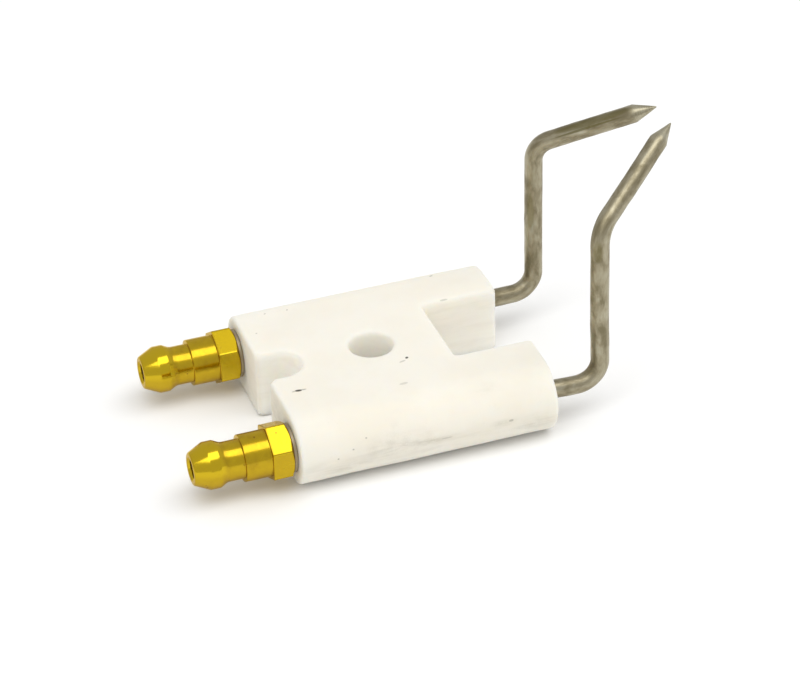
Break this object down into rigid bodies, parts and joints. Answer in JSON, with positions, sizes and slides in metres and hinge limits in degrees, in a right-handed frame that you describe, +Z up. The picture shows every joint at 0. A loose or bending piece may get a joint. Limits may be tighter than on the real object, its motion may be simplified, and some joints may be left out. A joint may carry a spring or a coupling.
{
  "type": "ignition electrode",
  "caption": "Twin ignition electrode: a ceramic block with a clamp hole, slot and notch, two bent pointed spark rods and two brass snap terminals for ignition leads.",
  "frame": {"origin": "middle of the whole assembly's footprint, in the plane of the ceramic block's flat underside", "axes": "+X along the rod bores from the brass terminals to the spark tips, +Y to the left when looking along +X, +Z up from the block's underside to its top face, which is the side the rods rise to"},
  "size_m": [0.0706, 0.034, 0.036],
  "materials": {
    "steatite": "unglazed fired steatite, matt off-white with faint specks",
    "heat_alloy": "heat-resistant resistance alloy, satin, grey-tan from drawing and heat",
    "brass": "bright turned yellow brass",
    "spring_steel": "dark oiled steel",
    "cement": "rough set ceramic cement"
  },
  "bodies": {
    "root": {"ceramic_block": "steatite", "electrode_rod_left": "heat_alloy", "electrode_rod_right": "heat_alloy", "snap_terminal_left": "brass", "snap_terminal_right": "brass", "washer_left": "spring_steel", "washer_right": "spring_steel", "rod_cement_left": "cement", "rod_cement_right": "cement"}
  },
  "joints": []
}
